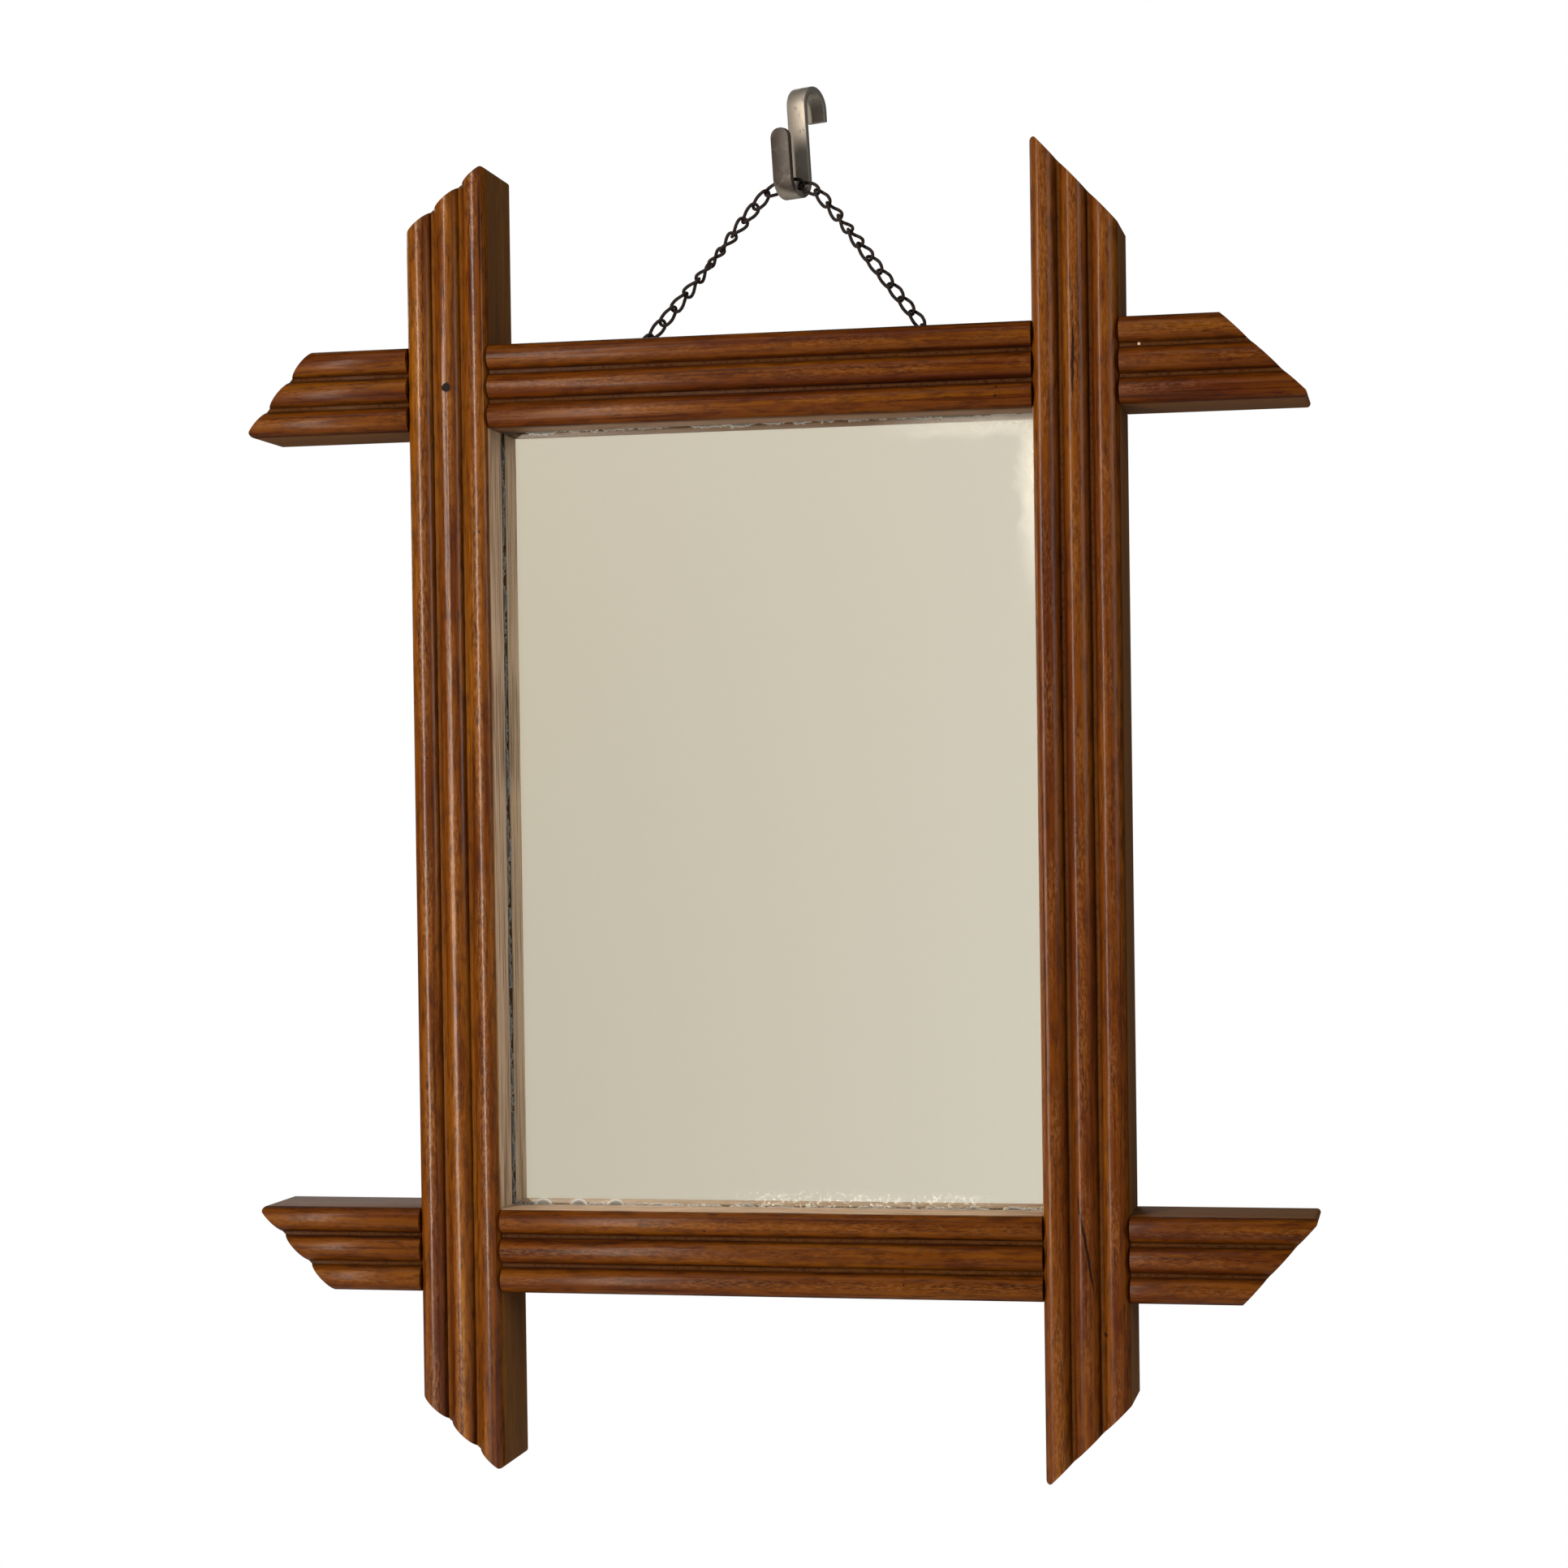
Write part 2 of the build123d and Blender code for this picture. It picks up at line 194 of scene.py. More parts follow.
# Old silvering: clouds, spots along the edges and three dark moons at the lower left
SILVER_TONE = (0.93, 0.925, 0.90, 1.0)
HAZE_TONE = srgb(196, 192, 182)
BARE_BACK_TONE = srgb(44, 38, 30)
EDGE_SPOT_REACH = (3.6 * MM, 4.6 * MM)
CLOUD_REACH = (12.5 * MM, 6.5 * MM)
HAZE_STRENGTH = 0.26
FLAKE_STRENGTH = 0.3
MOON_PLACES = (-77.9, -65.9, -53.6)
MOON_LEVEL = -126.4
MOON_RADIUS = 3.6 * MM

# Backing board, and hook with painted shade on its front strip
BOARD_TONES = ((0.35, srgb(116, 90, 62)), (0.5, srgb(142, 114, 82)), (0.65, srgb(160, 134, 100)))
BOARD_STAIN_TONE = srgb(96, 72, 48)
# Tarnish and painted shade on the hook's front strip
TARNISH_AND_SHADE_TONE = srgb(52, 44, 38)
TARNISH_AND_SHADE_REACH = (5.2 * MM, 3.4 * MM)


# Shader helpers


class Tree:
    """Short way to add and join the nodes of one node tree."""

    def __init__(self, tree):
        self.tree = tree

    def join(self, value, socket):
        """Link an output to a socket, or set a plain value on it."""
        if isinstance(value, bpy.types.NodeSocket):
            self.tree.links.new(value, socket)
        else:
            socket.default_value = value

    def fill(self, node, inputs):
        """Set a node's inputs, by name or number."""
        for name, value in inputs.items():
            self.join(value, node.inputs[name])

    def add(self, kind, inputs=None, **settings):
        node = self.tree.nodes.new(kind)
        for name, value in settings.items():
            setattr(node, name, value)
        self.fill(node, inputs or {})
        return node

    def group(self, node_tree, **inputs):
        """Outputs of a node group with its inputs set."""
        return self.add("ShaderNodeGroup", node_tree=node_tree, inputs=inputs).outputs

    def math(self, operation, *values, clamp=False):
        node = self.add("ShaderNodeMath", operation=operation, use_clamp=clamp)
        for socket, value in zip(node.inputs, values):
            self.join(value, socket)
        return node.outputs[0]

    def plus(self, first, second):
        return self.math("ADD", first, second)

    def minus(self, first, second):
        return self.math("SUBTRACT", first, second)

    def times(self, first, second):
        return self.math("MULTIPLY", first, second)

    def size(self, value):
        return self.math("ABSOLUTE", value)

    def smooth(self, value, low, high, start=0.0, end=1.0):
        """Ease from one value to another while a third runs from low to high."""
        limits = {"Value": value, "From Min": low, "From Max": high, "To Min": start, "To Max": end}
        return self.add("ShaderNodeMapRange", interpolation_type="SMOOTHSTEP", inputs=limits).outputs[0]

    def mix(self, factor, first, second):
        """Blend of two colours."""
        return self.add("ShaderNodeMix", data_type="RGBA", inputs={0: factor, 6: first, 7: second}).outputs[2]

    def noise(self, vector, scale, detail=3.0, roughness=0.5, distortion=0.0):
        node = self.add("ShaderNodeTexNoise", inputs={
            "Vector": vector,
            "Scale": scale,
            "Detail": detail,
            "Roughness": roughness,
            "Distortion": distortion,
        })
        return node.outputs[0]

    def drawn_noise(self, vector, scale, detail=3.0, roughness=0.5, distortion=0.0):
        """Noise with its own scale along each axis."""
        return self.noise(self.place(vector, scale=scale), 1.0, detail, roughness, distortion)

    def ramp(self, factor, *stops):
        """Colour ramp through stops of place and colour."""
        node = self.add("ShaderNodeValToRGB")
        node.color_ramp.elements[0].position, node.color_ramp.elements[0].color = stops[0]
        node.color_ramp.elements[1].position, node.color_ramp.elements[1].color = stops[-1]
        for place, colour in stops[1:-1]:
            node.color_ramp.elements.new(place).color = colour
        self.join(factor, node.inputs[0])
        return node.outputs[0]

    def place(self, vector, turn=(0, 0, 0), scale=(1, 1, 1)):
        node = self.add("ShaderNodeMapping", inputs={"Vector": vector, "Rotation": turn, "Scale": scale})
        return node.outputs[0]

    def split(self, vector):
        return self.add("ShaderNodeSeparateXYZ", inputs={"Vector": vector}).outputs

    def bump(self, height, distance, strength, normal=None):
        node = self.add("ShaderNodeBump", inputs={
            "Height": height, "Distance": distance, "Strength": strength})
        if normal is not None:
            self.join(normal, node.inputs["Normal"])
        return node.outputs[0]


def new_group(name, inputs, outputs):
    """A shader node group with named inputs and outputs."""
    group = bpy.data.node_groups.new(name, "ShaderNodeTree")
    for label, kind, value in inputs:
        socket = group.interface.new_socket(label, in_out="INPUT", socket_type=kind)
        if value is not None:
            socket.default_value = value
    for label, kind in outputs:
        group.interface.new_socket(label, in_out="OUTPUT", socket_type=kind)
    tree = Tree(group)
    return group, tree, tree.add("NodeGroupInput").outputs, tree.add("NodeGroupOutput")


def new_material(name):
    """An empty material's tree with its Principled shader and its output."""
    made = bpy.data.materials.new(name)
    made.use_nodes = True
    made.node_tree.nodes.clear()
    tree = Tree(made.node_tree)
    shader = tree.add("ShaderNodeBsdfPrincipled")
    output = tree.add("ShaderNodeOutputMaterial", inputs={"Surface": shader.outputs[0]})
    return made, tree, shader, output


def object_coordinates(tree):
    return tree.add("ShaderNodeTexCoord").outputs["Object"]


def swap_on_ray(tree, output, ray, shader, other):
    """Let one kind of ray see another shader on a surface."""
    is_that_ray = tree.add("ShaderNodeLightPath").outputs[ray]
    blend = tree.add("ShaderNodeMixShader", inputs={
        0: is_that_ray, 1: shader.outputs[0], 2: other.outputs[0]})
    tree.join(blend.outputs[0], output.inputs["Surface"])


# Shader groups

VECTOR, FLOAT, COLOUR = "NodeSocketVector", "NodeSocketFloat", "NodeSocketColor"


def wood_grain_group():
    """Streaked, pored grain that runs along Z, in metres."""
    group, tree, given, out = new_group(
        "streaked wood grain",
        [("Vector", VECTOR, None), ("Seed", FLOAT, 0.0), ("Redness", FLOAT, 0.5)],
        [("Color", COLOUR), ("Height", FLOAT)])
    shift = tree.add("ShaderNodeCombineXYZ", inputs={axis: given["Seed"] for axis in "XYZ"}).outputs[0]
    moved = tree.add("ShaderNodeVectorMath", operation="ADD", inputs={0: given["Vector"], 1: shift})
    here = moved.outputs[0]
    bands = tree.drawn_noise(here, (260, 120, 7), 4.0, 0.55, 0.35)
    streaks = tree.drawn_noise(here, (900, 500, 13), 4.0, 0.62, 0.2)
    fibres = tree.drawn_noise(here, (3200, 1800, 60), 3.0, 0.6)
    pores = tree.drawn_noise(here, (2600, 1500, 150), 2.0, 0.5)
    clouds = tree.drawn_noise(here, (30, 30, 14), 3.0, 0.5)
    mottle = tree.drawn_noise(here, (520, 520, 110), 5.0, 0.65, 0.3)
    mixed = tree.plus(tree.times(bands, 0.5), tree.times(streaks, 0.35))
    tone = tree.ramp(tree.plus(mixed, tree.times(fibres, 0.15)), *GRAIN_TONES)
    tone = tree.mix(tree.smooth(clouds, 0.35, 0.7, 0.0, 0.35), tone, CLOUD_TONE)
    tone = tree.mix(tree.smooth(mottle, 0.56, 0.34, 0.0, 0.6), tone, MOTTLE_TONE)
    tone = tree.mix(tree.times(given["Redness"], 0.5), tone, RED_TONE)
    tone = tree.mix(tree.times(tree.smooth(streaks, 0.42, 0.30), 0.7), tone, STREAK_TONE)
    pitted = tree.smooth(pores, 0.38, 0.31)
    tone = tree.mix(tree.times(pitted, 0.55), tone, PORE_TONE)
    tree.join(tone, out.inputs["Color"])
    height = tree.minus(tree.times(fibres, 0.35), tree.times(pitted, 0.5))
    tree.join(tree.plus(height, tree.times(streaks, 0.5)), out.inputs["Height"])
    return group


def moulding_wear_and_shade_group():
    """Masks of a moulding's quirks and outer face edges, dirty and darkened with painted shade, its fillets
    and its walls, from its own coordinates in metres.
    """
    group, tree, given, out = new_group(
        "moulding wear and shade",
        [("Vector", VECTOR, None), ("Across", FLOAT, 0.0), ("Depth", FLOAT, 0.0)],
        [("Quirk", FLOAT), ("Fillet", FLOAT), ("Wall", FLOAT)])
    wander = tree.drawn_noise(given["Vector"], (60, 60, 60), 4.0, 0.6)
    speck = tree.drawn_noise(given["Vector"], (700, 700, 700), 3.0, 0.6)
    jitter = tree.times(tree.minus(wander, 0.5), DIRT_WANDER)
    on_face = tree.smooth(given["Depth"], *FACE_DEPTHS)
    from_quirk = tree.size(tree.minus(tree.size(given["Across"]), QUIRK_OFFSET))
    from_edge = tree.size(tree.minus(tree.size(given["Across"]), STOCK_WIDTH / 2))
    nearest = tree.math("MINIMUM", from_quirk, tree.plus(from_edge, OUTER_EDGE_ALLOWANCE))
    # Dirt and painted shade in the quirks and along the face's outer edges
    quirk = tree.smooth(tree.plus(nearest, jitter), *QUIRK_DIRT_AND_SHADE_REACH)
    tree.join(tree.times(quirk, on_face), out.inputs["Quirk"])
    fillet = tree.smooth(tree.plus(from_quirk, tree.times(jitter, 0.35)), *FILLET_REACH)
    fillet = tree.times(fillet, tree.smooth(speck, 0.36, 0.52))
    tree.join(tree.times(fillet, on_face), out.inputs["Fillet"])
    tree.join(tree.smooth(given["Depth"], *WALL_DEPTHS), out.inputs["Wall"])
    return group


GRAIN = wood_grain_group()
WEAR_AND_SHADE_MASKS = moulding_wear_and_shade_group()


# Marks at chosen places


def line_mask(tree, x, z, start, end, width, wander):
    """1 on a hairline between two places seen from the front, 0 elsewhere."""
    (x0, z0), (x1, z1) = start, end
    share = tree.math("DIVIDE", tree.minus(z, z0), z1 - z0)
    middle = tree.plus(tree.times(share, x1 - x0), x0)
    from_middle = tree.size(tree.minus(tree.plus(x, wander), middle))
    taper = tree.times(tree.times(share, tree.minus(1.0, share)), 4 * width)
    inside = tree.times(tree.math("GREATER_THAN", share, 0.0), tree.math("LESS_THAN", share, 1.0))
    line = tree.math("DIVIDE", tree.minus(taper, from_middle), 0.25 * width, clamp=True)
    return tree.times(line, inside)


def spot_mask(tree, x, z, place, radius):
    """1 on a small round spot seen from the front, 0 elsewhere."""
    dx = tree.minus(x, place[0])
    dz = tree.minus(z, place[1])
    from_middle = tree.math("SQRT", tree.plus(tree.times(dx, dx), tree.times(dz, dz)))
    return tree.smooth(from_middle, radius, radius * SPOT_CORE)


# Materials


def sight_wall_dust_and_light(tree, x, z, depth, along, amount):
    """Streaky pale dusting on the walls of the sight opening, also painted light: its amount per moulding
    makes the walls that face the light paler.
    """
    beyond_side = tree.minus(tree.size(tree.minus(x, CENTRE.x)), SIGHT_HALF_WIDTH)
    beyond_top = tree.minus(tree.size(tree.minus(z, CENTRE.z)), SIGHT_HALF_HEIGHT)
    beyond = tree.math("MAXIMUM", beyond_side, beyond_top)
    on_wall = tree.times(tree.smooth(beyond, *SIGHT_WALL_REACH), tree.smooth(depth, *SIGHT_DUST_AND_LIGHT_DEPTHS))
    streaks = tree.drawn_noise(along, (1300, 1300, 30), 4.0, 0.6)
    return tree.times(on_wall, tree.smooth(streaks, 0.38, 0.56, 0.3 * amount, amount))


def rubbed_and_highlit_crests(tree, across, depth, along, flecks):
    """Flecked wear and painted highlight in patches along the crests of the reeds."""
    from_side_reed = tree.size(tree.minus(tree.size(across), CREST_OFFSET))
    from_crest = tree.math("MINIMUM", tree.size(across), from_side_reed)
    patches = tree.drawn_noise(along, (90, 90, 25), 3.0, 0.6)
    rubbed_and_highlit = tree.times(tree.smooth(from_crest, *CREST_REACH), tree.smooth(flecks, 0.42, 0.62))
    rubbed_and_highlit = tree.times(rubbed_and_highlit, tree.smooth(patches, 0.34, 0.6))
    return tree.times(rubbed_and_highlit, tree.smooth(depth, *CREST_DEPTHS))


def wood_material(name, upright, middle, seed, redness, depth_of_tone, grime_and_shade, shine, dust_and_light):
    """Worn, varnished wood for one moulding, its grain along the moulding, with painted shade in its quirks,
    painted highlight on its crests and painted light on its sight wall.
    """
    made, tree, shader, _ = new_material(name.replace("_", " ") + " wood")
    here = object_coordinates(tree)
    x, y, z = tree.split(here)
    depth = tree.minus(y, CENTRE.y)
    across = tree.minus(x, CENTRE.x + middle) if upright else tree.minus(z, CENTRE.z + middle)
    along = here if upright else tree.place(here, turn=(0, math.radians(90), 0))
    grain = tree.group(GRAIN, Vector=along, Seed=seed, Redness=redness)
    # Masks of wear and dirt; the quirk mask is painted shade as well
    wear = tree.group(WEAR_AND_SHADE_MASKS, Vector=here, Across=across, Depth=depth)
    flecks = tree.drawn_noise(along, (1700, 1700, 420), 4.0, 0.65)

    tone = tree.mix(depth_of_tone, grain["Color"], DEEP_VARNISH_TONE)
    # Dirt and painted shade darken the quirks
    tone = tree.mix(tree.times(wear["Quirk"], grime_and_shade), tone, QUIRK_DIRT_AND_SHADE_TONE)
    tone = tree.mix(tree.times(wear["Fillet"], 0.35), tone, FILLET_TONE)
    tone = tree.mix(tree.times(wear["Wall"], 0.6), tone, WALL_TONE)
    # Pale dust on the sight walls, partly painted light: strong on the bottom ledge and side walls, faint on
    # the top rail's underside, where shade falls
    tone = tree.mix(sight_wall_dust_and_light(tree, x, z, depth, along, dust_and_light), tone, SIGHT_DUST_AND_LIGHT_TONE)
    rubbed_and_highlit = rubbed_and_highlit_crests(tree, across, depth, along, flecks)
    # Worn flecks and painted highlight along the crests
    tone = tree.mix(tree.times(rubbed_and_highlit, 0.1 + 0.6 * shine), tone, RUBBED_AND_HIGHLIGHT_TONE)
    height = tree.plus(grain["Height"], tree.times(flecks, 0.5))

    wander = tree.times(tree.minus(tree.noise(here, 220.0), 0.5), CRACK_WANDER)
    for start, end in CRACKS.get(name, ()):
        crack = line_mask(tree, x, z, front_place(*start), front_place(*end), CRACK_WIDTH, wander)
        tone = tree.mix(tree.times(crack, 0.9), tone, CRACK_TONE)
        height = tree.minus(height, tree.times(crack, 2.0))
    for spot_x, spot_z, radius, spot_tone in SPOTS[name]:
        spot = spot_mask(tree, x, z, front_place(spot_x, spot_z), radius * MM)
        tone = tree.mix(tree.times(spot, 0.85), tone, spot_tone)

    rough = tree.plus(tree.times(grain["Height"], 0.25), 0.33)
    rough = tree.plus(rough, tree.times(wear["Quirk"], 0.2))
    rough = tree.plus(rough, tree.times(wear["Wall"], 0.18))
    unvarnished = tree.math("MAXIMUM", wear["Quirk"], wear["Wall"])
    swell = tree.bump(tree.drawn_noise(along, (220, 220, 45), 3.0, 0.5), 0.25 * MM, 0.5)
    tree.fill(shader, {
        "Base Color": tone,
        "Roughness": rough,
        "Specular IOR Level": 0.05,
        "Coat Weight": tree.smooth(unvarnished, 0.0, 0.8, shine, 0.02),
        "Coat Roughness": 0.2,
        "Coat IOR": 1.5,
        "Normal": tree.bump(height, 0.10 * MM, 0.7, swell),
        "Coat Normal": tree.bump(flecks, 0.05 * MM, 0.6, swell),
    })
    return made


def steel_material(name, tone, rust_tone, rough, rusty, brush=(60, 60, 2400)):
    """Bare or rusted steel with fine scratches."""
    made, tree, shader, _ = new_material(name)
    here = object_coordinates(tree)
    scratches = tree.drawn_noise(here, brush, 4.0, 0.6)
    stains = tree.noise(here, 420.0, 5.0, 0.65)
    rust = tree.smooth(stains, 0.62 - rusty * 0.5, 0.75 - rusty * 0.5)
    scratched = tree.plus(tree.times(scratches, 0.22), rough)
    height = tree.plus(tree.times(scratches, 0.4), tree.times(stains, 0.6))
    tree.fill(shader, {
        "Base Color": tree.mix(rust, tone, rust_tone),
        "Metallic": tree.minus(1.0, tree.times(rust, 0.9)),
        "Roughness": tree.plus(scratched, tree.times(rust, 0.25)),
        "Normal": tree.bump(height, 0.05 * MM, 0.6),
    })
    return made


def tarnish_and_shade(made, front):
    """Dirt and dark tarnished blotches on the strip of a hook that stands in front, with painted shade
    darkening that strip.
    """
    tree = Tree(made.node_tree)
    shader = made.node_tree.nodes["Principled BSDF"]
    here = object_coordinates(tree)
    from_front = tree.minus(tree.split(here)["Y"], front)
    blotch = tree.noise(here, 260.0, 4.0, 0.6, 0.5)
    # Tarnish blotches and painted shade: the front strip darkened all over
    dirt_and_shade = tree.times(tree.smooth(from_front, *TARNISH_AND_SHADE_REACH), tree.smooth(blotch, 0.25, 0.5, 0.72, 0.97))
    clean = shader.inputs["Base Color"].links[0].from_socket
    metal = shader.inputs["Metallic"].links[0].from_socket
    tree.fill(shader, {
        "Base Color": tree.mix(dirt_and_shade, clean, TARNISH_AND_SHADE_TONE),
        "Metallic": tree.times(metal, tree.minus(0.75, tree.times(dirt_and_shade, 0.55))),
    })


def glass_material():
    """Clear plate that lets light through to the silver."""
    made, tree, shader, output = new_material("clear plate glass")
    smears = tree.noise(object_coordinates(tree), 90.0, 4.0)
    tree.fill(shader, {
        "Base Color": (0.955, 0.962, 0.948, 1.0),
        "Metallic": 0.0,
        "Transmission Weight": 1.0,
        "IOR": 1.5,
        "Roughness": tree.smooth(smears, 0.3, 0.9, 0.0, 0.03),
    })
    clear = tree.add("ShaderNodeBsdfTransparent", inputs={"Color": (0.96, 0.968, 0.955, 1.0)})
    swap_on_ray(tree, output, "Is Shadow Ray", shader, clear)
    return made


def silver_material():
    """Old silvering: clouded towards one corner and spotted along its edges."""
    made, tree, shader, _ = new_material("old silvering")
    here = object_coordinates(tree)
    x, _, z = tree.split(here)
    from_side = tree.minus(SIGHT_HALF_WIDTH, tree.size(tree.minus(x, CENTRE.x)))
    from_top = tree.minus(SIGHT_HALF_HEIGHT, tree.size(tree.minus(z, CENTRE.z)))
    edge = tree.math("MINIMUM", from_side, from_top)
    coarse = tree.noise(here, 130.0, 5.0, 0.65, 0.4)
    fine = tree.noise(here, 900.0, 4.0, 0.7)

    foxed = tree.plus(tree.times(coarse, 6 * MM), tree.times(fine, 2 * MM))
    spots = tree.smooth(tree.minus(foxed, edge), *EDGE_SPOT_REACH)
    for moon_x in MOON_PLACES:
        moon = spot_mask(tree, x, z, front_place(moon_x, MOON_LEVEL), MOON_RADIUS)
        spots = tree.math("MAXIMUM", spots, moon)

    cloud = tree.smooth(tree.plus(edge, tree.times(coarse, 9 * MM)), *CLOUD_REACH)
    upper = tree.smooth(z, level_at(60), level_at(105))
    right = tree.smooth(x, across_at(30), across_at(72))
    haze = tree.times(cloud, tree.times(upper, right))
    low = tree.smooth(z, level_at(-119.5), level_at(-122.5))
    flaked_from = tree.smooth(x, across_at(-20), across_at(0))
    flaked_to = tree.smooth(x, across_at(76), across_at(60))
    flaked = tree.times(low, tree.times(flaked_from, flaked_to))
    flakes = tree.times(flaked, tree.smooth(fine, 0.5, 0.62))
    pale = tree.math(
        "MAXIMUM", tree.times(haze, HAZE_STRENGTH), tree.times(flakes, FLAKE_STRENGTH), clamp=True)

    tone = tree.mix(pale, SILVER_TONE, HAZE_TONE)
    tree.fill(shader, {
        "Base Color": tree.mix(tree.times(spots, 0.9), tone, BARE_BACK_TONE),
        "Metallic": tree.minus(1.0, tree.math("MAXIMUM", pale, spots)),
        "Roughness": tree.plus(tree.times(pale, 0.12), 0.015),
        "Specular IOR Level": 0.1,
        "Normal": tree.bump(coarse, 0.02 * MM, 0.15),
    })
    return made


def board_material():
    """Bare thin backing board, browned with age."""
    made, tree, shader, _ = new_material("bare backing board")
    here = object_coordinates(tree)
    grain = tree.drawn_noise(here, (500, 500, 18), 4.0, 0.6, 0.3)
    stain = tree.noise(here, 18.0, 4.0, 0.6)
    tone = tree.ramp(grain, *BOARD_TONES)
    tree.fill(shader, {
        "Base Color": tree.mix(tree.smooth(stain, 0.5, 0.75, 0.0, 0.5), tone, BOARD_STAIN_TONE),
        "Roughness": 0.85,
        "Normal": tree.bump(grain, 0.08 * MM, 0.6),
    })
    return made


# Pieces


def coat(mesh, material):
    """Give a whole mesh one material."""
    mesh.materials.clear()
    mesh.materials.append(material)


def show_as(name, mesh, material, body, *stands_for):
    """A finished piece that rides on a body and stands for CAD nodes."""
    piece = bpy.data.objects.new(name, mesh)
    bpy.context.scene.collection.objects.link(piece)
    coat(mesh, material)
    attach(piece, body)
    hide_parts(*stands_for)
    return piece


def is_sharp(edge):
    return len(edge.link_faces) == 2 and edge.calc_face_angle() > SHARP_FROM


def is_slant_sawn(face):
    """Whether a face is a moulding's slant-sawn end."""
    x, y, z = face.normal
    return abs(x) > 0.2 and abs(z) > 0.2 and abs(y) < 0.05


def wear_edges(shape, edges, width):
    """Round edges by a width in two steps."""
    bmesh.ops.bevel(
        shape, geom=edges, offset=width, offset_type="OFFSET", segments=2, profile=0.5,
        affect="EDGES", clamp_overlap=True)


def softened(node, width, end_width=0.0):
    """Copy of a CAD node's mesh with its sharp edges worn round, and its slant-sawn ends more so."""
    shape = bmesh.new()
    shape.from_mesh(nodes[node].data)
    bmesh.ops.remove_doubles(shape, verts=shape.verts, dist=MERGE_DISTANCE)
    bmesh.ops.dissolve_limit(
        shape, angle_limit=FLAT_WITHIN, verts=shape.verts, edges=shape.edges, delimit={"NORMAL"})
    if end_width:
        wear_edges(shape, [
            edge for edge in shape.edges
            if is_sharp(edge) and is_slant_sawn(edge.link_faces[0]) != is_slant_sawn(edge.link_faces[1])
        ], end_width)
    wear_edges(shape, [edge for edge in shape.edges if is_sharp(edge)], width)
    bmesh.ops.triangulate(shape, faces=[face for face in shape.faces if len(face.verts) > 4])
    mesh = bpy.data.meshes.new(node.replace("_", " "))
    shape.to_mesh(mesh)
    shape.free()
    mesh.shade_smooth()
    mesh.set_sharp_from_angle(angle=SHARP_FROM)
    return mesh


def glass_plate():
    """The glass, a hair clear of its silver so that their faces don't coincide."""
    low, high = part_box("mirror_glass")
    high.y -= SILVER_CLEARANCE
    shape = bmesh.new()
    bmesh.ops.create_cube(shape, size=1.0)
    for vertex in shape.verts:
        vertex.co = [low[i] if vertex.co[i] < 0 else high[i] for i in range(3)]
    bmesh.ops.bevel(shape, geom=shape.edges[:], offset=GLASS_ARRIS, segments=1, affect="EDGES")
    mesh = bpy.data.meshes.new("mirror glass")
    shape.to_mesh(mesh)
    shape.free()
    return mesh


# Chain


class GeometryTree(Tree):
    """Geometry nodes with named inputs for their sizes."""

    def __init__(self, name, inputs):
        super().__init__(bpy.data.node_groups.new(name, "GeometryNodeTree"))
        self.tree.interface.new_socket("Geometry", in_out="INPUT", socket_type="NodeSocketGeometry")
        for label, value in inputs.items():
            kind = "NodeSocketInt" if isinstance(value, int) else "NodeSocketFloat"
            self.tree.interface.new_socket(label, in_out="INPUT", socket_type=kind).default_value = value
        self.tree.interface.new_socket("Geometry", in_out="OUTPUT", socket_type="NodeSocketGeometry")
        self.given = self.add("NodeGroupInput").outputs
        self.out = self.add("NodeGroupOutput")


